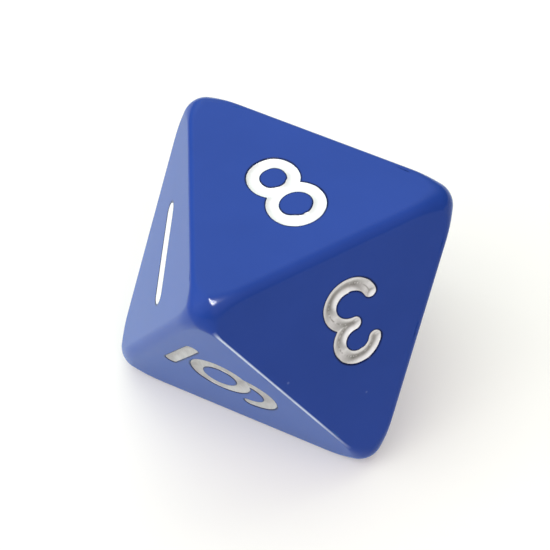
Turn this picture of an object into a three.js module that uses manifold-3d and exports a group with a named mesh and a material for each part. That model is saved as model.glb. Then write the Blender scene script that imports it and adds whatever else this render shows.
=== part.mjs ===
// Eight-sided die (a regular octahedron) with engraved, paint-filled numerals.
//
// The die is one solid moulding with rounded edges and rounder corners. Each of its
// eight faces carries one numeral, cut as a single round-bottomed groove, and each
// groove holds a dished film of white paint. The paint films are the only other
// pieces: one per numeral, and one more for the bar under the 6.
//
// Millimetres, +Z up. The origin is the middle of the face the die rests on. One
// corner of the upper face points to -Y (the front) and one of the lower face to +Y.
import * as THREE from 'three';
import { ConvexGeometry } from 'three/addons/geometries/ConvexGeometry.js';
import { mergeVertices } from 'three/addons/utils/BufferGeometryUtils.js';
import Module from 'manifold-3d';

// ---- driving dimensions (mm) ----
const FACE_TO_FACE = 15.0; // between opposite faces, the size such a die is sold by
const CORNER_RADIUS = 1.43; // rounding of each corner
const STROKE_WIDTH = 0.8; // width of a groove at the face
const STROKE_WIDTH_8 = 0.76; // the 8 is cut a little finer
const STROKE_WIDTH_1 = 1.2; // and the 1 a little broader
const GROOVE_DEPTH = 0.52; // deepest line of a groove under the face
const WALL_GAP = 0.02; // between groove wall and paint
const PAINT_SINK = 0.04; // the paint's rim lies this far under the face
const PAINT_RIM = 0.04; // flat rim left beside the dish
const DISH_DEPTH = 0.36; // deepest line of the dish in the paint under the face
const ARC_STEP = 15; // degrees per step round a curved stroke
const SECTION_STEPS = 6; // facets across a groove
const TURN_STEPS = 12; // facets round a stroke's end
const TURN_SHARE = 0.98; // size of the round end's section against the stroke's
const ROUND_STEPS = 6; // facets across a rounded edge

const HALF = FACE_TO_FACE / 2;
const SEMI_AXIS = HALF * Math.sqrt(3); // centre to a sharp corner
const RING = SEMI_AXIS * Math.sqrt(2 / 3); // radius of a face's three sharp corners

const BLUE = { color: 0x2b4fa6, roughness: 0.12, metalness: 0.0 };
const WHITE = { color: 0xf2f2f0, roughness: 0.4, metalness: 0.0 };

// ---- the six corners, relative to the middle of the die ----
const corner = (azimuth, z) => {
  const a = THREE.MathUtils.degToRad(azimuth);
  return new THREE.Vector3(RING * Math.cos(a), RING * Math.sin(a), z);
};
const P = corner(150, HALF); // upper, back left
const Q = corner(30, HALF); // upper, back right
const A = corner(-90, HALF); // upper, front
const R = corner(-30, -HALF); // lower, front right
const S = corner(-150, -HALF); // lower, front left
const B = corner(90, -HALF); // lower, back

// ---- the twelve edges: the rounding along the middle, and how far from the first and
// the second corner it settles. The edge between the 3 and the 6 is nearly sharp. ----
const EDGES = [
  [P, Q, 0.55, 3.6, 3.6],
  [P, A, 0.46, 3.4, 3.0],
  [P, S, 0.5, 3.6, 3.6],
  [P, B, 0.6, 3.6, 3.6],
  [Q, A, 0.85, 3.8, 3.8],
  [Q, R, 0.5, 3.6, 3.6],
  [Q, B, 0.6, 3.6, 3.6],
  [A, R, 0.2, 2.75, 3.9],
  [A, S, 0.9, 3.8, 3.8],
  [R, S, 0.45, 3.6, 3.6],
  [R, B, 0.55, 3.6, 3.6],
  [S, B, 0.55, 3.6, 3.6],
];

// ---- strokes, in face coordinates: x to the right, y towards the face's top corner ----
// `round` says which ends, first and last, get a round end of their own: a stroke
// that starts inside another one leaves it out there.
const line = (x0, y0, x1, y1, round = [1, 1]) => ({ line: [x0, y0, x1, y1], round });
// An arc of an ellipse from angle t0 to t1 (degrees, anticlockwise positive).
const arc = (cx, cy, a, b, t0, t1, round = [1, 1]) => ({ arc: [cx, cy, a, b, t0, t1], round });
// Strokes that follow on from each other in one smooth line.
const run = (...parts) => ({ run: parts, round: [1, 1] });
// A closed ellipse: two arcs that run one step into each other.
const loop = (cx, cy, a, b) => [
  arc(cx, cy, a, b, 90, -90 - ARC_STEP, [0, 0]),
  arc(cx, cy, a, b, 270, 90 - ARC_STEP, [0, 0]),
];

// `turn` is the numeral's tilt on its face, in degrees anticlockwise.
const NUMERALS = {
  1: { width: STROKE_WIDTH_1, strokes: [line(0.21, 2.52, 0.31, -2.53)] },
  2: {
    turn: 0.6,
    strokes: [
      run(arc(0.03, 1.02, 1.34, 1.33, 165, -42), line(1.0258, 0.1301, -1.39, -2.5)),
      line(-1.39, -2.5, 1.44, -2.5, [0, 1]),
    ],
  },
  3: {
    strokes: [
      arc(-0.53, 1.16, 1.203, 1.135, 162, -90),
      arc(-0.56, -1.265, 1.425, 1.29, 90, -165, [0, 1]),
    ],
  },
  4: {
    turn: -0.8,
    strokes: [
      line(0.62, 2.42, -1.62, -0.98),
      line(-1.62, -0.98, 1.62, -0.98, [0, 1]),
      line(0.62, 2.42, 0.62, -2.5, [0, 1]),
    ],
  },
  5: {
    turn: 0.9,
    strokes: [
      line(1.2, 2.34, -0.94, 2.34),
      line(-0.94, 2.34, -1.2325, -0.0384, [0, 0]),
      arc(-0.06, -0.91, 1.48, 1.58, 142, -155),
    ],
  },
  6: {
    turn: -1.9,
    strokes: [
      ...loop(-0.859, -0.811, 1.72, 1.52),
      arc(-0.757, 0.945, 1.75, 1.72, 35, 206, [1, 0]),
    ],
  },
  7: {
    turn: -0.5,
    strokes: [line(-1.44, 2.34, 1.4, 2.34), line(1.4, 2.34, -0.5, -2.5, [0, 1])],
  },
  8: {
    turn: 1.0,
    width: STROKE_WIDTH_8,
    strokes: [...loop(0.236, 1.255, 1.203, 1.15), ...loop(0.242, -1.203, 1.425, 1.307)],
  },
};
const UNDERLINE = { turn: -1.9, width: 0.75, strokes: [line(-2.853, -3.447, 1.432, -3.447)] };

// Each face: its three corners, with the one above the numeral's head first.
const FACES = {
  1: [P, A, S],
  2: [R, Q, B],
  3: [R, A, Q],
  4: [P, S, B],
  5: [P, B, Q],
  6: [R, S, A],
  7: [R, B, S],
  8: [P, Q, A],
};

// ---- solids ----
const wasm = await Module();
wasm.setup();

function solid(geometry) {
  const bare = geometry.index ? geometry.toNonIndexed() : geometry.clone();
  for (const name of Object.keys(bare.attributes))
    if (name !== 'position') bare.deleteAttribute(name);
  const merged = mergeVertices(bare, 1e-5);
  return new wasm.Manifold(
    new wasm.Mesh({
      numProp: 3,
      vertProperties: merged.attributes.position.array,
      triVerts: new Uint32Array(merged.index.array),
    }),
  );
}

function geometryOf(made) {
  const mesh = made.getMesh();
  const position = new Float32Array(mesh.numVert * 3);
  for (let i = 0; i < mesh.numVert; i++)
    for (let k = 0; k < 3; k++)
      position[i * 3 + k] = mesh.vertProperties[i * mesh.numProp + k];
  const geometry = new THREE.BufferGeometry();
  geometry.setAttribute('position', new THREE.BufferAttribute(position, 3));
  geometry.setIndex(new THREE.BufferAttribute(new Uint32Array(mesh.triVerts), 1));
  geometry.computeVertexNormals();
  return geometry;
}

const union = (solids) => solids.reduce((all, next) => all.add(next));

// A path in the face plane through listed points, each with its own direction.
class StrokePath extends THREE.Curve {
  constructor(points, tangents) {
    super();
    this.points = points;
    this.tangents = tangents;
  }
  at(list, t) {
    return list[Math.round(t * (list.length - 1))].clone();
  }
  getPoint(t) {
    return this.at(this.points, t);
  }
  getTangent(t) {
    return this.at(this.tangents, t);
  }
  getPointAt(u) {
    return this.getPoint(u);
  }
  getTangentAt(u) {
    return this.getTangent(u);
  }
}

function stationsOf(stroke) {
  if (stroke.run) {
    const parts = stroke.run.map(stationsOf);
    return {
      points: parts.flatMap((part, i) => (i ? part.points.slice(1) : part.points)),
      tangents: parts.flatMap((part, i) => (i ? part.tangents.slice(1) : part.tangents)),
    };
  }
  if (stroke.line) {
    const [x0, y0, x1, y1] = stroke.line;
    const points = [new THREE.Vector3(x0, y0, 0), new THREE.Vector3(x1, y1, 0)];
    const along = points[1].clone().sub(points[0]).normalize();
    return { points, tangents: [along, along.clone()] };
  }
  const [cx, cy, a, b, t0, t1] = stroke.arc;
  const steps = Math.max(2, Math.round(Math.abs(t1 - t0) / ARC_STEP));
  const way = Math.sign(t1 - t0);
  const points = [];
  const tangents = [];
  for (let i = 0; i <= steps; i++) {
    const t = THREE.MathUtils.degToRad(t0 + ((t1 - t0) * i) / steps);
    points.push(new THREE.Vector3(cx + a * Math.cos(t), cy + b * Math.sin(t), 0));
    tangents.push(
      new THREE.Vector3(-a * Math.sin(t) * way, b * Math.cos(t) * way, 0).normalize(),
    );
  }
  return { points, tangents };
}

function pathOf(stroke) {
  const { points, tangents } = stationsOf(stroke);
  return {
    path: new StrokePath(points, tangents),
    steps: points.length - 1,
    ends: [points[0], points[points.length - 1]],
  };
}

// Half of a U-shaped section, from its middle line out: [across, height] pairs.
// The wall runs straight up from the face plane's width to the top.
function halfSection(halfWidth, depth, top) {
  const points = [];
  for (let i = 0; i <= SECTION_STEPS / 2; i++) {
    const a = (i / (SECTION_STEPS / 2)) * (Math.PI / 2);
    points.push([halfWidth * Math.sin(a), -depth * Math.cos(a)]);
  }
  if (top > 1e-9) points.push([halfWidth, top]);
  return points;
}

// Cuts a half section off at a height under the face plane.
function cutHalfSection(half, top) {
  const kept = half.filter((p) => p[1] < top - 1e-6);
  const next = half[kept.length];
  const last = kept[kept.length - 1];
  const t = (top - last[1]) / (next[1] - last[1]);
  return [...kept, [last[0] + (next[0] - last[0]) * t, top]];
}

// A stroke's solid: the section swept along the path, with the same section turned
// about each end so that the stroke ends round.
function strokeSolid(stroke, half) {
  const { path, steps, ends } = pathOf(stroke);
  // On a path in the XY plane the sweep lays the shape's x along -Z and its y across.
  const outline = [
    ...half.map(([across, height]) => new THREE.Vector2(-height, across)),
    ...half
      .slice(1)
      .reverse()
      .map(([across, height]) => new THREE.Vector2(-height, -across)),
  ];
  const swept = solid(
    new THREE.ExtrudeGeometry(new THREE.Shape(outline), {
      steps,
      curveSegments: 1,
      bevelEnabled: false,
      extrudePath: path,
    }),
  );
  const top = half[half.length - 1][1];
  const profile = [
    ...half.map(
      ([across, height]) =>
        new THREE.Vector2(across * TURN_SHARE, top - (top - height) * TURN_SHARE),
    ),
    new THREE.Vector2(0, top),
  ];
  const rounds = ends.flatMap((end, i) => {
    if (!stroke.round[i]) return [];
    const along = path.getTangent(i);
    const turned = new THREE.LatheGeometry(profile, TURN_STEPS);
    turned.rotateX(Math.PI / 2);
    turned.rotateZ(Math.atan2(along.y, along.x));
    turned.translate(end.x, end.y, 0);
    return solid(turned);
  });
  return union([swept, ...rounds]);
}

function numeralSolids(numeral) {
  const halfWidth = (numeral.width ?? STROKE_WIDTH) / 2;
  const groove = halfSection(halfWidth, GROOVE_DEPTH, 0.5);
  const fill = cutHalfSection(
    halfSection(halfWidth - WALL_GAP, GROOVE_DEPTH - WALL_GAP, 0),
    -PAINT_SINK,
  );
  const dish = halfSection(halfWidth - WALL_GAP - PAINT_RIM, DISH_DEPTH, 0.5);
  const cut = union(numeral.strokes.map((s) => strokeSolid(s, groove)));
  const filled = union(numeral.strokes.map((s) => strokeSolid(s, fill)));
  const hollow = union(numeral.strokes.map((s) => strokeSolid(s, dish)));
  const turned = new THREE.Matrix4().makeRotationZ(THREE.MathUtils.degToRad(numeral.turn ?? 0));
  return {
    cut: cut.transform(turned.elements),
    paint: filled.subtract(hollow).transform(turned.elements),
  };
}

// Face coordinates to the part's frame.
function faceMatrix([top, b, c]) {
  const middle = new THREE.Vector3().add(top).add(b).add(c).divideScalar(3);
  const outward = middle.clone().normalize();
  const up = top.clone().sub(middle).normalize();
  const right = new THREE.Vector3().crossVectors(up, outward).normalize();
  middle.z += HALF;
  return new THREE.Matrix4().makeBasis(right, up, outward).setPosition(middle);
}

// ---- the body: the hull of balls that touch the faces, one at each corner and a
// row along each edge whose radius eases from the corner's to the edge's ----
function bodyGeometry() {
  const points = [];
  const corners = [P, Q, A, R, S, B];
  const opposite = (a, b) => a.clone().add(b).length() < 1e-6;
  const unit = (k) => Math.tan(((k / ROUND_STEPS) * 2 - 1) * (Math.PI / 4));
  for (const v of corners) {
    const out = v.clone().normalize();
    const [e1, e2] = (() => {
      const others = corners.filter((w) => w !== v && !opposite(w, v));
      const first = others[0].clone().normalize();
      return [first, new THREE.Vector3().crossVectors(out, first)];
    })();
    const centre = out.clone().multiplyScalar(SEMI_AXIS - Math.sqrt(3) * CORNER_RADIUS);
    for (let i = 0; i <= ROUND_STEPS; i++)
      for (let j = 0; j <= ROUND_STEPS; j++) {
        const normal = out
          .clone()
          .addScaledVector(e1, unit(i))
          .addScaledVector(e2, unit(j))
          .normalize();
        points.push(centre.clone().addScaledVector(normal, CORNER_RADIUS));
      }
  }
  const inset = Math.sqrt(1.5); // edge line to ball centre, per unit of radius
  const start = inset * CORNER_RADIUS;
  const stations = [0.16, 0.34, 0.55, 0.78, 1];
  const ends = EDGES.flatMap(([v, w, settled, near, far]) => [
    [v, w, settled, near],
    [w, v, settled, far],
  ]);
  for (const [v, w, settled, blend] of ends) {
    const along = w.clone().sub(v).normalize();
    const outward = v.clone().add(w).normalize();
    const side = new THREE.Vector3().crossVectors(along, outward);
    for (const t of stations) {
      const s = start + (blend - start) * t;
      const radius = settled + (CORNER_RADIUS - settled) * (1 - t) ** 2.4;
      const centre = v
        .clone()
        .addScaledVector(along, s)
        .addScaledVector(outward, -inset * radius);
      for (let k = 0; k <= ROUND_STEPS; k++) {
        // The normals turn from one face's to the other's.
        const a = ((k / ROUND_STEPS) * 2 - 1) * Math.atan(Math.SQRT1_2);
        points.push(
          centre
            .clone()
            .addScaledVector(outward, radius * Math.cos(a))
            .addScaledVector(side, radius * Math.sin(a)),
        );
      }
    }
  }
  points.forEach((p) => (p.z += HALF));
  return new ConvexGeometry(points);
}

// ---- assembly ----
const die = new THREE.Group();
die.name = 'eight_sided_die';

function addMesh(name, made, look) {
  const mesh = new THREE.Mesh(geometryOf(made), new THREE.MeshStandardMaterial(look));
  mesh.name = name;
  die.add(mesh);
}

let body = solid(bodyGeometry());
const paints = [];
for (const [value, face] of Object.entries(FACES)) {
  const place = faceMatrix(face);
  const put = (made) => made.transform(place.elements);
  const made = numeralSolids(NUMERALS[value]);
  body = body.subtract(put(made.cut));
  paints.push([`paint_numeral_${value}`, put(made.paint)]);
  if (value === '6') {
    const bar = numeralSolids(UNDERLINE);
    body = body.subtract(put(bar.cut));
    paints.push(['paint_bar_under_6', put(bar.paint)]);
  }
}
addMesh('die_body', body, BLUE);
for (const [name, made] of paints) addMesh(name, made, WHITE);

export default die;
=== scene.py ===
"""An eight-sided die: one glossy blue moulding with rounded edges, and white paint in its engraved numerals."""

import math

import bpy
import numpy as np
from mathutils import Matrix, Vector
from mathutils.geometry import delaunay_2d_cdt


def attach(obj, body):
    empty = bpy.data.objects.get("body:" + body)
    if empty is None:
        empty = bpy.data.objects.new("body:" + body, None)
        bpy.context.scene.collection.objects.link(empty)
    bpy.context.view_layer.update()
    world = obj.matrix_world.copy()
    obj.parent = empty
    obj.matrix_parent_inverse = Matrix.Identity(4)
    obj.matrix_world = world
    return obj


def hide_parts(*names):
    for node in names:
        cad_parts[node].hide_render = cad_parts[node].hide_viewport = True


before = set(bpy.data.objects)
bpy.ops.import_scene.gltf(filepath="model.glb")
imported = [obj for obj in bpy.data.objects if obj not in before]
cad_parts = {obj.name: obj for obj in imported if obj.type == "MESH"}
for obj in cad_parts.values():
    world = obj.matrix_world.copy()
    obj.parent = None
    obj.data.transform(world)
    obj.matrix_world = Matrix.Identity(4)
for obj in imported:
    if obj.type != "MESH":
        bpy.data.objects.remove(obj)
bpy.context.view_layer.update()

# ------------------------------------------------------------------ dimensions (mm)
# The same numbers as the CAD part, in millimetres, about the middle of the die.
HALF = 7.5
SEMI = HALF * math.sqrt(3)
RING = SEMI * math.sqrt(2 / 3)
CORNER_R = 1.43
INSET = math.sqrt(1.5)
ARC_N = 16
GROOVE_W = 0.40
GROOVE_D = 0.52


def corner(az, z):
    a = math.radians(az)
    return np.array([RING * math.cos(a), RING * math.sin(a), z])


P, Q, A = corner(150, HALF), corner(30, HALF), corner(-90, HALF)
R, S, B = corner(-30, -HALF), corner(-150, -HALF), corner(90, -HALF)
CORNERS = {"P": P, "Q": Q, "A": A, "R": R, "S": S, "B": B}
OPPOSITE = {"P": "R", "R": "P", "Q": "S", "S": "Q", "A": "B", "B": "A"}
# each face: its corners, the one above the numeral's head first
FACES = {1: "PAS", 2: "RQB", 3: "RAQ", 4: "PSB", 5: "PBQ", 6: "RSA", 7: "RBS", 8: "PQA"}


def unit(v):
    return v / np.linalg.norm(v)


def face_frame(n):
    t, b, c = (CORNERS[k] for k in FACES[n])
    mid = (t + b + c) / 3
    out = unit(mid)
    up = unit(t - mid)
    return mid, np.cross(up, out), up, out


# ------------------------------------------------------------------ numerals
# Strokes in face coordinates: x right, y up towards the top corner.
def line(x0, y0, x1, y1):
    n = max(2, int(math.hypot(x1 - x0, y1 - y0) / 0.05))
    t = np.linspace(0, 1, n + 1)[:, None]
    return np.array([[x0, y0]]) * (1 - t) + np.array([[x1, y1]]) * t


def arc(cx, cy, a, b, t0, t1, sq=2.0):
    """An arc of an ellipse, squared off a little where sq is over 2."""
    n = max(8, int(abs(t1 - t0) / 2.5))
    t = np.radians(np.linspace(t0, t1, n + 1))
    c, s = np.cos(t), np.sin(t)
    e = 2.0 / sq
    return np.c_[
        cx + a * np.sign(c) * np.abs(c) ** e, cy + b * np.sign(s) * np.abs(s) ** e
    ]


def turned(pts, deg):
    a = math.radians(deg)
    return pts @ np.array([[math.cos(a), math.sin(a)], [-math.sin(a), math.cos(a)]])


# width: half width of the groove; bumps: (x, y, radius, how far the rim moves out there)
NUMERALS = {
    1: dict(w=0.60, strokes=[line(0.21, 2.52, 0.31, -2.53)], bumps=[(-0.18, 1.35, 0.25, 0.035)]),
    2: dict(
        turn=0.6,
        strokes=[
            arc(0.03, 1.02, 1.34, 1.33, 165, -42),
            line(1.026, 0.130, -1.39, -2.5),
            line(-1.39, -2.5, 1.44, -2.5),
        ],
        bumps=[(1.2, 1.9, 0.2, 0.02), (0.6, -2.1, 0.2, 0.025)],
    ),
    3: dict(
        w=0.415,
        strokes=[
            arc(-0.53, 1.16, 1.203, 1.135, 162, -90),
            arc(-0.56, -1.265, 1.425, 1.29, 90, -165),
        ],
        bumps=[
            (-0.42, -2.18, 0.14, 0.05),
            (0.28, 0.32, 0.25, 0.10),
            (-0.15, 0.36, 0.14, 0.03),
            (-0.65, 1.84, 0.13, 0.03),
        ],
    ),
    4: dict(
        turn=-0.8,
        strokes=[
            line(0.62, 2.42, -1.62, -0.98),
            line(-1.62, -0.98, 1.62, -0.98),
            line(0.62, 2.42, 0.62, -2.5),
        ],
        bumps=[(-0.3, 0.4, 0.2, 0.03)],
    ),
    5: dict(
        turn=0.9,
        strokes=[
            line(1.2, 2.34, -0.94, 2.34),
            line(-0.94, 2.34, -1.226, 0.063),
            arc(-0.06, -0.91, 1.48, 1.58, 142, -155),
        ],
        bumps=[(0.2, 0.3, 0.2, 0.03), (1.0, -1.9, 0.15, 0.02)],
    ),
    6: dict(
        turn=-1.9,
        w=0.42,
        strokes=[
            arc(-0.859, -0.811, 1.72, 1.52, 0, 360),
            arc(-0.757, 0.945, 1.75, 1.72, 35, 206),
        ],
        bumps=[(-2.0, 0.2, 0.3, 0.02)],
    ),
    7: dict(
        turn=-0.5,
        strokes=[line(-1.44, 2.34, 1.4, 2.34), line(1.4, 2.34, -0.5, -2.5)],
        bumps=[(0.3, 0.2, 0.2, 0.03)],
    ),
    8: dict(
        turn=1.0,
        w=0.38,
        strokes=[
            arc(0.236, 1.255, 1.203, 1.15, 0, 360, 2.12),
            arc(0.242, -1.203, 1.425, 1.307, 0, 360, 2.04),
        ],
        bumps=[
            (0.30, -2.12, 0.10, 0.09),
            (-0.32, -1.83, 0.33, 0.07),
            (-0.10, 0.46, 0.12, 0.06),
            (0.80, 0.62, 0.14, 0.05),
            (0.90, -1.75, 0.3, 0.03),
        ],
    ),
}
BAR = dict(turn=-1.9, w=0.385, strokes=[line(-2.853, -3.447, 1.432, -3.447)], bumps=[])


def wobble(x, y, seed):
    """A smooth, repeatable unevenness of about +-1."""
    rng = np.random.default_rng(seed)
    total = np.zeros_like(x)
    for k in range(7):
        f = 1.1 * 1.45**k
        th, ph = rng.uniform(0, 2 * math.pi, 2)
        total += np.sin(f * (x * math.cos(th) + y * math.sin(th)) * 1.7 + ph) / (1 + 0.55 * k)
    return total / 2.2


class Stroke:
    """The distance from a numeral's middle line, with the slight unevenness of a cut groove."""

    def __init__(self, spec, seed):
        self.lines = [turned(s, spec.get("turn", 0.0)) for s in spec["strokes"]]
        self.w = spec.get("w", GROOVE_W)
        self.bumps = spec.get("bumps", [])
        self.turn = spec.get("turn", 0.0)
        self.seed = seed
        self.a = np.concatenate([s[:-1] for s in self.lines])
        self.b = np.concatenate([s[1:] for s in self.lines])

    def distance(self, p):
        out = np.empty(len(p))
        d = self.b - self.a
        dd = (d * d).sum(1)
        for i in range(0, len(p), 4000):
            q = p[i : i + 4000, None, :] - self.a[None]
            t = np.clip((q * d).sum(2) / dd, 0, 1)
            e = q - t[..., None] * d
            out[i : i + 4000] = np.sqrt((e * e).sum(2).min(1))
        return out

    def level(self, p):
        """1 at the rim of the groove, 0 on its middle line."""
        x, y = p[:, 0], p[:, 1]
        w = self.w + 0.009 * wobble(x, y, self.seed)
        for bx, by, r, amount in self.bumps:
            bx, by = turned(np.array([[bx, by]]), self.turn)[0]
            w = w + amount * np.exp(-((x - bx) ** 2 + (y - by) ** 2) / (r * r))
        return self.distance(p) / w

    def box(self, margin):
        pts = np.concatenate(self.lines)
        return pts.min(0) - margin, pts.max(0) + margin


def contours(field, xs, ys, level):
    """Closed level lines of a field on a grid, as lists of points (marching squares)."""
    inside = field < level
    nodes, links = {}, {}

    def cut(i, j, k, l):
        key = (i, j, k, l) if (i, j) < (k, l) else (k, l, i, j)
        if key not in nodes:
            fa, fb = field[key[0], key[1]], field[key[2], key[3]]
            t = (level - fa) / (fb - fa)
            nodes[key] = (
                xs[key[0]] * (1 - t) + xs[key[2]] * t,
                ys[key[1]] * (1 - t) + ys[key[3]] * t,
            )
        return key

    c = inside.astype(int)
    total = c[:-1, :-1] + c[1:, :-1] + c[1:, 1:] + c[:-1, 1:]
    for i, j in zip(*np.nonzero((total > 0) & (total < 4))):
        ring = [(i, j), (i + 1, j), (i + 1, j + 1), (i, j + 1)]
        flips = [
            cut(*ring[k], *ring[(k + 1) % 4])
            for k in range(4)
            if inside[ring[k]] != inside[ring[(k + 1) % 4]]
        ]
        if len(flips) == 4:
            middle = sum(field[r] for r in ring) / 4 < level
            pairs = (
                [(flips[0], flips[1]), (flips[2], flips[3])]
                if bool(inside[ring[0]]) == bool(middle)
                else [(flips[3], flips[0]), (flips[1], flips[2])]
            )
        else:
            pairs = [(flips[0], flips[1])]
        for p, q in pairs:
            links.setdefault(p, []).append(q)
            links.setdefault(q, []).append(p)
    loops, seen = [], set()
    for start in links:
        if start in seen:
            continue
        loop, at, before = [start], start, None
        seen.add(start)
        while True:
            nxt = [q for q in links[at] if q != before and q not in seen]
            if not nxt:
                break
            before, at = at, nxt[0]
            seen.add(at)
            loop.append(at)
        loops.append(np.array([nodes[k] for k in loop]))
    return loops


def even(loop, step):
    closed = np.concatenate([loop, loop[:1]])
    seg = np.linalg.norm(np.diff(closed, axis=0), axis=1)
    along = np.r_[0, np.cumsum(seg)]
    n = max(6, int(round(along[-1] / step)))
    t = np.linspace(0, along[-1], n, endpoint=False)
    return np.c_[np.interp(t, along, closed[:, 0]), np.interp(t, along, closed[:, 1])]


def settle(p, f, level, scale):
    """Moves points onto a level of f along its slope."""
    h = 1e-4
    for _ in range(3):
        v = f(p) - level
        gx = (f(p + [h, 0]) - f(p - [h, 0])) / (2 * h)
        gy = (f(p + [0, h]) - f(p - [0, h])) / (2 * h)
        g2 = np.maximum(gx * gx + gy * gy, 0.3 / scale**2)
        step = np.clip(v / g2 * gx, -0.03, 0.03), np.clip(v / g2 * gy, -0.03, 0.03)
        p = p - np.c_[step]
    return p


# The groove's section: distance from the middle line as a share of its half width, and depth.
GROOVE = [
    (0.00, -1.000),
    (0.20, -0.978),
    (0.38, -0.925),
    (0.54, -0.840),
    (0.68, -0.725),
    (0.80, -0.580),
    (0.89, -0.405),
    (0.945, -0.240),
    (0.980, -0.120),
    (1.010, -0.052),
    (1.050, -0.014),
    (1.100, -0.003),
    (1.160, 0.000),
    (1.230, 0.000),
    (1.320, 0.000),
]
GL = np.array([g[0] for g in GROOVE])
GH = np.array([g[1] for g in GROOVE]) * GROOVE_D


def groove_height(lv):
    return np.interp(lv, GL, GH)


class Builder:
    """Collects polygons and welds the points that coincide."""

    def __init__(self):
        self.index, self.points, self.polys = {}, [], []
        self.normals, self.wear, self.rim_shade = [], [], []

    def vertex(self, p, normal=None, wear=0.0, rim_shade=0.0):
        key = (round(p[0] * 2e4), round(p[1] * 2e4), round(p[2] * 2e4))
        if key not in self.index:
            self.index[key] = len(self.points)
            self.points.append(p)
            self.normals.append(normal)
            self.wear.append(wear)
            self.rim_shade.append(rim_shade)
        return self.index[key]

    def poly(self, ids):
        ids = [k for n, k in enumerate(ids) if k != ids[n - 1]]
        if len(ids) > 2:
            self.polys.append(ids)

    def object(self, name):
        mesh = bpy.data.meshes.new(name)
        pts = (np.array(self.points) + [0, 0, HALF]) / 1000.0
        mesh.from_pydata(pts.tolist(), [], self.polys)
        mesh.validate()
        for p in mesh.polygons:
            p.use_smooth = True
        if self.normals[0] is not None:
            mesh.normals_split_custom_set_from_vertices([tuple(n) for n in self.normals])
        for mark, values in (("wear", self.wear), ("rim_shade", self.rim_shade)):
            if max(values) > 0:
                mesh.attributes.new(mark, "FLOAT", "POINT").data.foreach_set("value", values)
        o = bpy.data.objects.new(name, mesh)
        bpy.context.scene.collection.objects.link(o)
        return o


# ------------------------------------------------------------------ the rounded edges
EDGE = SEMI * math.sqrt(2)
S0 = INSET * CORNER_R
# radius along the middle of an edge, and how far from each of its two corners it settles
EDGES = {
    "PQ": (0.55, 3.6, 3.6),
    "PA": (0.46, 3.4, 3.0),
    "PS": (0.50, 3.6, 3.6),
    "PB": (0.60, 3.6, 3.6),
    "QA": (0.85, 3.8, 3.8),
    "QR": (0.50, 3.6, 3.6),
    "QB": (0.60, 3.6, 3.6),
    "AR": (0.20, 2.75, 3.9),
    "AS": (0.90, 3.8, 3.8),
    "RS": (0.45, 3.6, 3.6),
    "RB": (0.55, 3.6, 3.6),
    "SB": (0.55, 3.6, 3.6),
}


def edge_spec(a, b):
    if a + b in EDGES:
        return EDGES[a + b]
    r, near, far = EDGES[b + a]
    return r, far, near


def radius_at(s, a, b):
    """Radius of an edge's rounding, and its slope, at a distance s from corner a towards b."""
    r, near, far = edge_spec(a, b)
    sign, blend = (1, near) if s <= EDGE / 2 else (-1, far)
    s = s if s <= EDGE / 2 else EDGE - s
    t = min(1.0, (s - S0) / (blend - S0))
    k = CORNER_R - r
    slope = -2.4 * k * (1 - t) ** 1.4 / (blend - S0) if t < 1 else 0.0
    return r + k * (1 - t) ** 2.4, sign * slope


def stations(a, b):
    _, near, far = edge_spec(a, b)
    halves = []
    for blend in (near, far):
        half = [S0 + (blend - S0) * t for t in (0, 0.06, 0.13, 0.21, 0.3, 0.4, 0.5, 0.62, 0.78, 1)]
        halves.append(half + list(np.linspace(blend, EDGE / 2, 8)[1:]))
    return halves[0] + [EDGE - s for s in halves[1][-2::-1]]


def edge_wear(a, b, s, t):
    """How pale the colour is made at a point of an edge, a painted highlight: only the sharp one between 3 and 6
    gets it.
    """
    if a + b not in ("AR", "RA"):
        return 0.0
    if a == "R":
        s, t = EDGE - s, 1 - t
    r, _ = radius_at(s, "A", "R")
    along = min(1.0, max(0.0, (s - 2.15) / 0.45)) * min(1.0, max(0.0, (EDGE - 2.9 - s) / 4.2)) ** 0.6
    along *= 0.88 + 0.12 * math.sin(2.1 * s + 0.8) * math.sin(5.3 * s)
    return along * max(0.0, 1 - abs(t - 0.52) / (0.40 * min(1.0, 0.27 / r))) ** 0.7


def edge_arcs(a, b):
    """For an edge between corners a and b, the ball centre, radius and normals at each station.
    The normals turn from the face on the left of a-to-b, seen from outside, to the one on its right."""
    va, vb = CORNERS[a], CORNERS[b]
    e = unit(vb - va)
    o = unit(va + vb)
    left = np.cross(o, e)
    n1 = unit(o * math.sqrt(2 / 3) + left * math.sqrt(1 / 3))
    n2 = unit(o * math.sqrt(2 / 3) - left * math.sqrt(1 / 3))
    rows = []
    for s in stations(a, b):
        r, slope = radius_at(s, a, b)
        centre = va + e * s - o * INSET * r
        axis = e - o * INSET * slope
        height = -slope / np.linalg.norm(axis)
        axis = unit(axis)
        p1, p2 = n1 - height * axis, n2 - height * axis
        phi = math.acos(np.clip(unit(p1) @ unit(p2), -1, 1))
        ts = np.linspace(0, 1, ARC_N + 1)
        normals = [
            unit(
                height * axis
                + (math.sin((1 - t) * phi) * p1 + math.sin(t * phi) * p2) / math.sin(phi)
            )
            for t in ts
        ]
        rows.append((centre, r, normals, [edge_wear(a, b, s, t) for t in ts]))
    return rows


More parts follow.
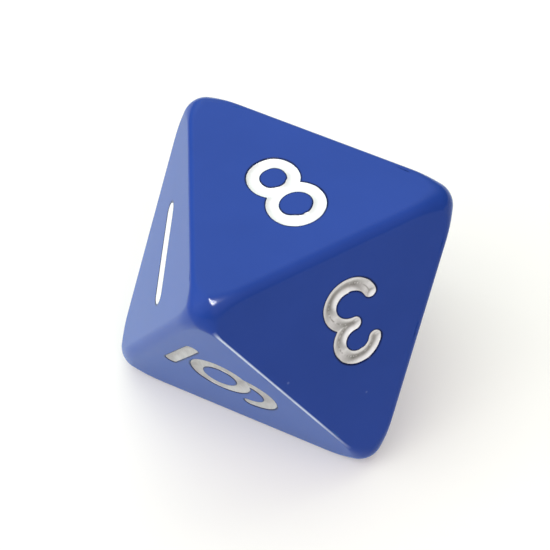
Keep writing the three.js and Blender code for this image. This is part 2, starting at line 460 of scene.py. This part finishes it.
def build_body():
    m = Builder()
    edges = {}
    names = list(CORNERS)
    for i, a in enumerate(names):
        for b in names[i + 1 :]:
            if OPPOSITE[a] == b:
                continue
            rows = edge_arcs(a, b)
            edges[a, b] = rows
            grid = [
                [m.vertex(c + r * n, n, w) for n, w in zip(ns, ws)] for c, r, ns, ws in rows
            ]
            for j in range(len(grid) - 1):
                for k in range(ARC_N):
                    m.poly([grid[j][k], grid[j][k + 1], grid[j + 1][k + 1], grid[j + 1][k]])
    # corners: four arcs meet round each, and a patch of the corner's ball fills them
    for v in names:
        out = unit(CORNERS[v])
        around = [w for w in names if w != v and OPPOSITE[v] != w]
        ref = unit(CORNERS[around[0]])
        side = np.cross(out, ref)
        around.sort(key=lambda w: math.atan2(unit(CORNERS[w]) @ side, unit(CORNERS[w]) @ ref))
        arcs = []
        for w in around:
            rows = edges.get((v, w))
            if rows:
                ns = list(rows[0][2])  # from the left face to the right one: clockwise about v
                ns = ns[::-1]
            else:
                ns = list(edges[w, v][-1][2])
            arcs.append(ns)
        centre = out * (SEMI - math.sqrt(3) * CORNER_R)
        bottom, right, top, left = arcs[0], arcs[1], arcs[2][::-1], arcs[3][::-1]
        if np.linalg.norm(bottom[-1] - right[0]) > 1e-6:
            raise ValueError("corner arcs out of order")
        grid = []
        for j in range(ARC_N + 1):
            row = []
            for i in range(ARC_N + 1):
                x, y = i / ARC_N, j / ARC_N
                n = (
                    (1 - y) * bottom[i]
                    + y * top[i]
                    + (1 - x) * left[j]
                    + x * right[j]
                    - (1 - x) * (1 - y) * bottom[0]
                    - x * (1 - y) * bottom[-1]
                    - (1 - x) * y * top[0]
                    - x * y * top[-1]
                )
                row.append(m.vertex(centre + CORNER_R * unit(n), unit(n)))
            grid.append(row)
        for j in range(ARC_N):
            for i in range(ARC_N):
                m.poly([grid[j][i], grid[j][i + 1], grid[j + 1][i + 1], grid[j + 1][i]])
    # faces
    for number in FACES:
        build_face(m, number)
    return m.object("die_moulding")


def flat_outline(number):
    """The edge of a face's flat part in face coordinates, anticlockwise, and the same line a little further in."""
    mid, right, up, out = face_frame(number)
    t, b, c = FACES[number]
    pts = []
    for a, w in ((t, c), (c, b), (b, t)):
        va, vb = CORNERS[a], CORNERS[w]
        e, o = unit(vb - va), unit(va + vb)
        for s in stations(a, w):
            r, _ = radius_at(s, a, w)
            p = va + e * s - o * INSET * r + out * r - mid
            pts.append([p @ right, p @ up])
        pts.pop()
    pts = np.array(pts)
    area = 0.5 * np.sum(
        pts[:, 0] * np.roll(pts[:, 1], -1) - np.roll(pts[:, 0], -1) * pts[:, 1]
    )
    if area < 0:
        pts = pts[::-1]
    inner = pts * (1 - 0.05 / 4.0)
    return pts, inner


def strokes_of(number):
    made = [("numeral", Stroke(NUMERALS[number], 10 + number))]
    if number == 6:
        made.append(("bar", Stroke(BAR, 31)))
    return made


def triangulate(points, edges):
    verts = [Vector((float(x), float(y))) for x, y in points]
    got, _, faces, orig, _, _ = delaunay_2d_cdt(verts, edges, [], 1, 1e-6, True)
    return np.array([[v.x, v.y] for v in got]), faces


def loops_of(stroke, levels, step, grid=0.035):
    lo, hi = stroke.box(stroke.w * 1.5)
    xs = np.arange(lo[0], hi[0] + grid, grid)
    ys = np.arange(lo[1], hi[1] + grid, grid)
    gx, gy = np.meshgrid(xs, ys, indexing="ij")
    field = stroke.level(np.c_[gx.ravel(), gy.ravel()]).reshape(gx.shape)
    out = {}
    for lv in levels:
        out[lv] = [
            settle(even(loop, step), stroke.level, lv, stroke.w)
            for loop in contours(field, xs, ys, lv)
            if len(loop) > 5
        ]
    return out


def build_face(m, number):
    mid, right, up, out = face_frame(number)
    outline, inner = flat_outline(number)
    points, edges = [], []

    def add(loop, closed=True):
        start = len(points)
        points.extend(loop.tolist())
        n = len(loop)
        edges.extend((start + k, start + k + 1) for k in range(n - 1))
        if closed:
            edges.append((start + n - 1, start))

    add(outline)
    add(inner)
    strokes = strokes_of(number)
    for _, s in strokes:
        for lv, loops in loops_of(s, GL[1:], 0.085).items():
            for loop in loops:
                add(loop)
        for run in s.lines:
            seg = np.linalg.norm(np.diff(run, axis=0), axis=1)
            along = np.r_[0, np.cumsum(seg)]
            n = max(2, int(along[-1] / 0.09))
            t = np.linspace(0, along[-1], n + 1)
            points.extend(np.c_[np.interp(t, along, run[:, 0]), np.interp(t, along, run[:, 1])].tolist())
    got, faces = triangulate(points, edges)

    def height(p):
        return groove_height(np.min([s.level(p) for _, s in strokes], axis=0))

    z = height(got)
    lv = np.min([s.level(got) for _, s in strokes], axis=0)
    # painted shade: marks the rim round each groove, which the plastic material darkens as if in shadow
    rim_shade = np.clip((1.30 - lv) / 0.16, 0, 1)
    e = 0.006
    zx = (height(got + [e, 0]) - height(got - [e, 0])) / (2 * e)
    zy = (height(got + [0, e]) - height(got - [0, e])) / (2 * e)
    ids = [
        m.vertex(
            mid + right * x + up * y + out * h, unit(out - right * gx - up * gy), 0.0, float(c)
        )
        for (x, y), h, gx, gy, c in zip(got, z, zx, zy, rim_shade)
    ]
    for f in faces:
        m.poly([ids[k] for k in f])


def build_paint(number, which, stroke):
    """A film of paint in a groove: it lies on the walls, thicker in the bottom, and thins out to its rim."""
    mid, right, up, out = face_frame(number)
    seed = 100 + number * 3 + (which == "bar")
    reach = 0.975 if number == 1 else 0.945

    def share(p):
        ragged = 0.013 * wobble(p[:, 0] * 2.3, p[:, 1] * 2.3, seed)
        ragged += 0.012 * wobble(p[:, 0] * 6.5, p[:, 1] * 6.5, seed + 7)
        return stroke.level(p) / (reach + ragged)

    class Film:
        w = stroke.w
        level = staticmethod(share)
        box = stroke.box
        lines = stroke.lines

    levels = [0.16, 0.33, 0.5, 0.64, 0.76, 0.86, 0.93, 0.975, 1.0]
    points, edges = [], []
    for lv, loops in loops_of(Film, levels, 0.075).items():
        for loop in loops:
            start, n = len(points), len(loop)
            points.extend(loop.tolist())
            edges.extend((start + k, start + (k + 1) % n) for k in range(n))
    for run in stroke.lines:
        seg = np.linalg.norm(np.diff(run, axis=0), axis=1)
        along = np.r_[0, np.cumsum(seg)]
        n = max(2, int(along[-1] / 0.09))
        t = np.linspace(0, along[-1], n + 1)
        points.extend(np.c_[np.interp(t, along, run[:, 0]), np.interp(t, along, run[:, 1])].tolist())
    got, faces = triangulate(points, edges)
    d = np.clip(share(got), 0, 1)
    floor = groove_height(stroke.level(got)) + 0.008
    thick = 0.012 + 0.080 * (1 - d**2.2)
    # the paint has pooled: its own surface is a shallow trough, its lip just under the face
    lip, trough = (0.016, 0.06) if number == 1 else (0.034, 0.16 if number in (3, 8) else 0.20)
    sunk = lip + trough * (1 - d**1.8) + 0.008 * wobble(got[:, 0] * 3, got[:, 1] * 3, seed + 1) * (1 - d)
    thick = np.maximum(thick, -sunk - floor)
    # painted shade: the paint is made grey down one side of the 3, where its groove wall faces away from the
    # light, and greyer all over the 6 but for its up-facing rim, left white as a painted highlight; 2, 4, 5 and 7
    # get only a faint random grey, 1 and 8 none
    e = 0.01
    g = np.c_[
        share(got + [e, 0]) - share(got - [e, 0]), share(got + [0, e]) - share(got - [0, e])
    ]
    g /= np.maximum(np.linalg.norm(g, axis=1), 1e-9)[:, None]
    grey_and_shade = 0.10 + 0.06 * wobble(got[:, 0] * 2, got[:, 1] * 2, seed + 3)
    if number in (1, 8):
        grey_and_shade = np.zeros(len(got))
    if number == 3:
        side = d * (g @ [0.46, -0.89])
        across = np.clip(np.abs(g @ [0.46, -0.89]) * 1.5, 0, 1)
        grey_and_shade = (0.18 + 0.80 * across) * np.exp(-(np.abs((side + 0.05) / 0.40) ** 3))
        grey_and_shade *= 0.94 + 0.10 * wobble(got[:, 0], got[:, 1], seed + 4)
    if number == 6:
        side = d * (g @ ([0.98, 0.2] if which == "numeral" else [-0.85, -0.5]))
        grey_and_shade = 0.60 + 0.10 * wobble(got[:, 0] * 2, got[:, 1] * 2, seed + 5)
        grey_and_shade *= 1 - np.clip((side - 0.945) / 0.03, 0, 1)
    grey_and_shade = np.clip(grey_and_shade, 0, 1).tolist()
    m = Builder()
    top = [
        m.vertex(mid + right * x + up * y + out * h, None, t)
        for (x, y), h, t in zip(got, floor + thick, grey_and_shade)
    ]
    low = [
        m.vertex(mid + right * x + up * y + out * h, None, t)
        for (x, y), h, t in zip(got, floor, grey_and_shade)
    ]
    count = {}
    for f in faces:
        m.poly([top[k] for k in f])
        m.poly([low[k] for k in reversed(f)])
        for k in range(len(f)):
            e = (f[k], f[(k + 1) % len(f)])
            count[e] = count.get(e, 0) + 1
    for a, b in count:
        if (b, a) not in count:
            m.poly([top[b], top[a], low[a], low[b]])
    name = f"paint_film_{number}" if which == "numeral" else f"paint_film_bar_under_{number}"
    return m.object(name)


# ------------------------------------------------------------------ materials
def material(name):
    mat = bpy.data.materials.new(name)
    mat.use_nodes = True
    nt = mat.node_tree
    nt.nodes.clear()
    out = nt.nodes.new("ShaderNodeOutputMaterial")
    bsdf = nt.nodes.new("ShaderNodeBsdfPrincipled")
    nt.links.new(bsdf.outputs["BSDF"], out.inputs["Surface"])
    return mat, nt, bsdf


def node(nt, kind, **values):
    n = nt.nodes.new(kind)
    for k, v in values.items():
        if k in n.inputs:
            n.inputs[k].default_value = v
        else:
            setattr(n, k, v)
    return n


def ramp(nt, source, stops):
    r = nt.nodes.new("ShaderNodeValToRGB")
    while len(r.color_ramp.elements) < len(stops):
        r.color_ramp.elements.new(0.5)
    for e, (pos, col) in zip(r.color_ramp.elements, stops):
        e.position = pos
        e.color = (*col, 1) if len(col) == 3 else col
    nt.links.new(source, r.inputs["Fac"])
    return r


def plastic():
    mat, nt, bsdf = material("blue_plastic_polished")
    L = nt.links.new
    tc = node(nt, "ShaderNodeTexCoord")
    # colour: a pigment that is a touch uneven
    cloud = node(nt, "ShaderNodeTexNoise", Scale=170.0, Detail=3.0, Roughness=0.55)
    L(tc.outputs["Object"], cloud.inputs["Vector"])
    base = ramp(
        nt,
        cloud.outputs["Fac"],
        [(0.30, (0.0170, 0.0520, 0.280)), (0.70, (0.0195, 0.0570, 0.304))],
    )
    # dust: sparse pale specks
    cells = node(nt, "ShaderNodeTexVoronoi", Scale=900.0, Randomness=1.0)
    L(tc.outputs["Object"], cells.inputs["Vector"])
    speck = ramp(nt, cells.outputs["Distance"], [(0.0, (1, 1, 1)), (0.10, (0, 0, 0))])
    keep = node(nt, "ShaderNodeSeparateColor")
    L(cells.outputs["Color"], keep.inputs["Color"])
    rare = ramp(nt, keep.outputs["Red"], [(0.955, (0, 0, 0)), (0.975, (1, 1, 1))])
    both = node(nt, "ShaderNodeMath", operation="MULTIPLY")
    L(speck.outputs["Color"], both.inputs[0])
    L(rare.outputs["Color"], both.inputs[1])
    faint = node(nt, "ShaderNodeMath", operation="MULTIPLY")
    faint.inputs[1].default_value = 0.35
    L(both.outputs[0], faint.inputs[0])
    mix = node(nt, "ShaderNodeMix", data_type="RGBA")
    L(faint.outputs[0], mix.inputs["Factor"])
    L(base.outputs["Color"], mix.inputs["A"])
    mix.inputs["B"].default_value = (0.30, 0.38, 0.60, 1)
    # painted highlight: the sharp edge between 3 and 6 made pale, standing in for a bright line of light along it
    highlit = node(nt, "ShaderNodeAttribute", attribute_name="wear")
    patchy = node(nt, "ShaderNodeTexNoise", Scale=2600.0, Detail=3.0, Roughness=0.6)
    L(tc.outputs["Object"], patchy.inputs["Vector"])
    uneven = ramp(nt, patchy.outputs["Fac"], [(0.25, (0.80,) * 3), (0.55, (1, 1, 1))])
    pale = node(nt, "ShaderNodeMath", operation="MULTIPLY")
    L(highlit.outputs["Fac"], pale.inputs[0])
    L(uneven.outputs["Color"], pale.inputs[1])
    edge = node(nt, "ShaderNodeMix", data_type="RGBA")
    L(pale.outputs[0], edge.inputs["Factor"])
    L(mix.outputs["Result"], edge.inputs["A"])
    edge.inputs["B"].default_value = (0.74, 0.84, 0.96, 1)
    # painted shade: a dark rim round each numeral, where the wall of its groove lies in shadow
    rim = node(nt, "ShaderNodeAttribute", attribute_name="rim_shade")
    shade_patches = node(nt, "ShaderNodeTexNoise", Scale=1900.0, Detail=2.0, Roughness=0.5)
    L(tc.outputs["Object"], shade_patches.inputs["Vector"])
    partly = ramp(nt, shade_patches.outputs["Fac"], [(0.30, (0.75,) * 3), (0.60, (1, 1, 1))])
    dark = node(nt, "ShaderNodeMath", operation="MULTIPLY")
    L(rim.outputs["Fac"], dark.inputs[0])
    L(partly.outputs["Color"], dark.inputs[1])
    rim_shaded = node(nt, "ShaderNodeMix", data_type="RGBA")
    L(dark.outputs[0], rim_shaded.inputs["Factor"])
    L(edge.outputs["Result"], rim_shaded.inputs["A"])
    rim_shaded.inputs["B"].default_value = (0.002, 0.008, 0.055, 1)
    L(rim_shaded.outputs["Result"], bsdf.inputs["Base Color"])
    # gloss: polished, with faint cloudy handling marks
    smear = node(nt, "ShaderNodeTexNoise", Scale=320.0, Detail=5.0, Roughness=0.62, Distortion=0.4)
    L(tc.outputs["Object"], smear.inputs["Vector"])
    rough = ramp(nt, smear.outputs["Fac"], [(0.35, (0.10, 0.10, 0.10)), (0.75, (0.19, 0.19, 0.19))])
    L(rough.outputs["Color"], bsdf.inputs["Roughness"])
    # surface: the faint waviness of a tumbled moulding and hairline scratches
    wave = node(nt, "ShaderNodeTexNoise", Scale=420.0, Detail=2.0, Roughness=0.45)
    L(tc.outputs["Object"], wave.inputs["Vector"])
    bump = node(nt, "ShaderNodeBump", Strength=0.10, Distance=0.00006)
    L(wave.outputs["Fac"], bump.inputs["Height"])
    stretch = node(nt, "ShaderNodeMapping", Scale=(5200.0, 260.0, 900.0), Rotation=(0.4, 0.7, 0.5))
    L(tc.outputs["Object"], stretch.inputs["Vector"])
    hair = node(nt, "ShaderNodeTexNoise", Scale=1.0, Detail=2.0, Roughness=0.5)
    L(stretch.outputs["Vector"], hair.inputs["Vector"])
    lines = ramp(nt, hair.outputs["Fac"], [(0.66, (0, 0, 0)), (0.72, (1, 1, 1))])
    bump2 = node(nt, "ShaderNodeBump", Strength=0.06, Distance=0.00001)
    L(lines.outputs["Color"], bump2.inputs["Height"])
    L(bump.outputs["Normal"], bump2.inputs["Normal"])
    L(bump2.outputs["Normal"], bsdf.inputs["Normal"])
    bsdf.inputs["IOR"].default_value = 1.20
    # a film of handling haze, seen where the surface is looked along
    bsdf.inputs["Sheen Weight"].default_value = 0.35
    bsdf.inputs["Sheen Roughness"].default_value = 0.30
    bsdf.inputs["Sheen Tint"].default_value = (0.02, 0.42, 1.0, 1)
    bsdf.inputs["Specular IOR Level"].default_value = 0.5
    return mat


def paint(name, tint):
    mat, nt, bsdf = material(name)
    L = nt.links.new
    tc = node(nt, "ShaderNodeTexCoord")
    cloud = node(nt, "ShaderNodeTexNoise", Scale=1500.0, Detail=4.0, Roughness=0.6)
    L(tc.outputs["Object"], cloud.inputs["Vector"])
    base = ramp(
        nt,
        cloud.outputs["Fac"],
        [(0.3, tuple(0.93 * t for t in tint)), (0.7, tint)],
    )
    # painted shade: the attribute from build_paint mixes the paint towards grey, down one side of the 3 and over
    # the 6 but its up-facing rim
    tone_shade_attr = node(nt, "ShaderNodeAttribute", attribute_name="wear")
    streak = node(nt, "ShaderNodeTexNoise", Scale=3400.0, Detail=4.0, Roughness=0.65)
    L(tc.outputs["Object"], streak.inputs["Vector"])
    part = ramp(nt, streak.outputs["Fac"], [(0.25, (0.84,) * 3), (0.65, (1, 1, 1))])
    much = node(nt, "ShaderNodeMath", operation="MULTIPLY")
    L(tone_shade_attr.outputs["Fac"], much.inputs[0])
    L(part.outputs["Color"], much.inputs[1])
    grey_and_shade = node(nt, "ShaderNodeMix", data_type="RGBA")
    L(much.outputs[0], grey_and_shade.inputs["Factor"])
    L(base.outputs["Color"], grey_and_shade.inputs["A"])
    grey_and_shade.inputs["B"].default_value = (0.185, 0.180, 0.160, 1)
    L(grey_and_shade.outputs["Result"], bsdf.inputs["Base Color"])
    rough = ramp(nt, cloud.outputs["Fac"], [(0.3, (0.30,) * 3), (0.7, (0.42,) * 3)])
    L(rough.outputs["Color"], bsdf.inputs["Roughness"])
    grain = node(nt, "ShaderNodeTexNoise", Scale=5200.0, Detail=3.0, Roughness=0.6)
    L(tc.outputs["Object"], grain.inputs["Vector"])
    bump = node(nt, "ShaderNodeBump", Strength=0.25, Distance=0.00002)
    L(grain.outputs["Fac"], bump.inputs["Height"])
    L(bump.outputs["Normal"], bsdf.inputs["Normal"])
    bsdf.inputs["IOR"].default_value = 1.48
    return mat


# ------------------------------------------------------------------ pieces
body = build_body()
body.data.materials.append(plastic())
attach(body, "root")
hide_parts("die_body")

white = paint("white_enamel", (0.86, 0.86, 0.85))
for number in FACES:
    for which, stroke in strokes_of(number):
        film = build_paint(number, which, stroke)
        film.data.materials.append(white)
        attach(film, "root")
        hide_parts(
            f"paint_numeral_{number}" if which == "numeral" else "paint_bar_under_6"
        )

# ------------------------------------------------------------------ floor
def floor():
    mesh = bpy.data.meshes.new("floor")
    r = 1.2
    mesh.from_pydata([(-r, -r, 0), (r, -r, 0), (r, r, 0), (-r, r, 0)], [], [(0, 1, 2, 3)])
    o = bpy.data.objects.new("floor", mesh)
    bpy.context.scene.collection.objects.link(o)
    o.location.z = -0.00001
    mat, nt, bsdf = material("floor_white")
    bsdf.inputs["Base Color"].default_value = (0.675, 0.645, 0.610, 1)
    # a light table: it glows a little from below
    bsdf.inputs["Emission Color"].default_value = (1.0, 0.97, 0.94, 1)
    bsdf.inputs["Emission Strength"].default_value = 0.25
    bsdf.inputs["Roughness"].default_value = 0.7
    bsdf.inputs["Specular IOR Level"].default_value = 0.2
    mesh.materials.append(mat)
    return o


floor()

# ------------------------------------------------------------------ light
# A soft studio: broad glows of the surroundings, brighter on the left.
# azimuth, elevation (degrees), how narrow the glow is, its brightness
GLOWS = [
    (90, 58, 14, (1.81, 1.96, 1.81)),
    (150, 58, 14, (1.34, 1.56, 1.46)),
    (-150, 58, 14, (1.76, 1.91, 1.96)),
    (-90, 58, 14, (1.13, 1.17, 1.22)),
    (-30, 58, 14, (1.72, 1.64, 1.64)),
    (10, 28, 14, (0.13, 0.00, 0.00)),
    (90, 28, 14, (0.43, 0.51, 0.47)),
    (130, 28, 14, (1.39, 1.55, 1.44)),
    (170, 28, 14, (0.04, 0.18, 0.25)),
    (-150, 28, 14, (1.92, 2.02, 2.11)),
    (-110, 28, 14, (1.31, 1.35, 1.42)),
    (-30, 28, 14, (1.21, 1.02, 1.01)),
    (180, 6, 22, (0.54, 0.57, 0.60)),
    (-135, 6, 22, (1.23, 1.25, 1.29)),
]
world = bpy.data.worlds.new("studio")
bpy.context.scene.world = world
world.use_nodes = True
wt = world.node_tree
bg = wt.nodes["Background"]
coord = wt.nodes.new("ShaderNodeTexCoord")


def vector_math(operation, *inputs):
    n = wt.nodes.new("ShaderNodeVectorMath")
    n.operation = operation
    for socket, value in zip(n.inputs, inputs):
        if isinstance(value, (tuple, list)):
            socket.default_value = value
        else:
            wt.links.new(value, socket)
    return n


way = vector_math("NORMALIZE", coord.outputs["Generated"]).outputs["Vector"]
total = None
for az, el, narrow, glow in GLOWS:
    a, e = math.radians(az), math.radians(el)
    to = (math.cos(e) * math.cos(a), math.cos(e) * math.sin(a), math.sin(e))
    near = vector_math("DOT_PRODUCT", way, to)
    scaled = wt.nodes.new("ShaderNodeMath")
    scaled.operation = "MULTIPLY_ADD"
    wt.links.new(near.outputs["Value"], scaled.inputs[0])
    scaled.inputs[1].default_value = narrow
    scaled.inputs[2].default_value = -narrow
    fall = wt.nodes.new("ShaderNodeMath")
    fall.operation = "EXPONENT"
    wt.links.new(scaled.outputs[0], fall.inputs[0])
    tinted = vector_math("SCALE", glow)
    wt.links.new(fall.outputs[0], tinted.inputs["Scale"])
    if total is None:
        total = tinted.outputs["Vector"]
    else:
        total = vector_math("ADD", total, tinted.outputs["Vector"]).outputs["Vector"]
wt.links.new(total, bg.inputs["Color"])
bg.inputs["Strength"].default_value = 0.96


def area(name, where, size, power, look=(0, 0, 0.007), color=(1, 1, 1), spread=180):
    d = bpy.data.lights.new(name, "AREA")
    d.shape = "DISK"
    d.size = size
    d.energy = power
    d.color = color
    d.spread = math.radians(spread)
    o = bpy.data.objects.new(name, d)
    o.location = where
    o.rotation_mode = "QUATERNION"
    o.rotation_quaternion = (Vector(look) - Vector(where)).to_track_quat("-Z", "Y")
    bpy.context.scene.collection.objects.link(o)
    return o


# a small lamp overhead: it makes the one bright dot on the front corner
LAMP = unit(np.array([0.182, -0.126, 0.975]))
lamp = area("lamp", tuple(LAMP * 0.5), 0.080, 7.0)
lamp.data.shape = "ELLIPSE"
lamp.data.size_y = 0.34
narrow_way = unit(np.array([0.5, 0.866, 0]) - LAMP * (LAMP @ [0.5, 0.866, 0]))
lamp.rotation_quaternion = (
    Matrix([narrow_way.tolist(), np.cross(LAMP, narrow_way).tolist(), LAMP.tolist()])
    .transposed()
    .to_quaternion()
)
lamp.visible_diffuse = False

# ------------------------------------------------------------------ camera
cam = bpy.data.cameras.new("camera")
cam.sensor_width = 36.0
cam.lens = 2604.04 / 550 * 36.0
cam.clip_start = 0.001
cam.clip_end = 10
co = bpy.data.objects.new("camera", cam)
right = np.array([0.8814711, 0.472102, -0.011332])
down = np.array([0.3491229, -0.6676376, -0.6575509])
forward = np.array([-0.3179968, 0.5756558, -0.7533249])
place = np.array([49.3154, -90.2176, 118.0222 + HALF]) / 1000
co.matrix_world = Matrix(
    [
        [right[i], -down[i], -forward[i], place[i]] for i in range(3)
    ]
    + [[0, 0, 0, 1]]
)
bpy.context.scene.collection.objects.link(co)
bpy.context.scene.camera = co

bpy.context.scene.view_settings.view_transform = "Standard"
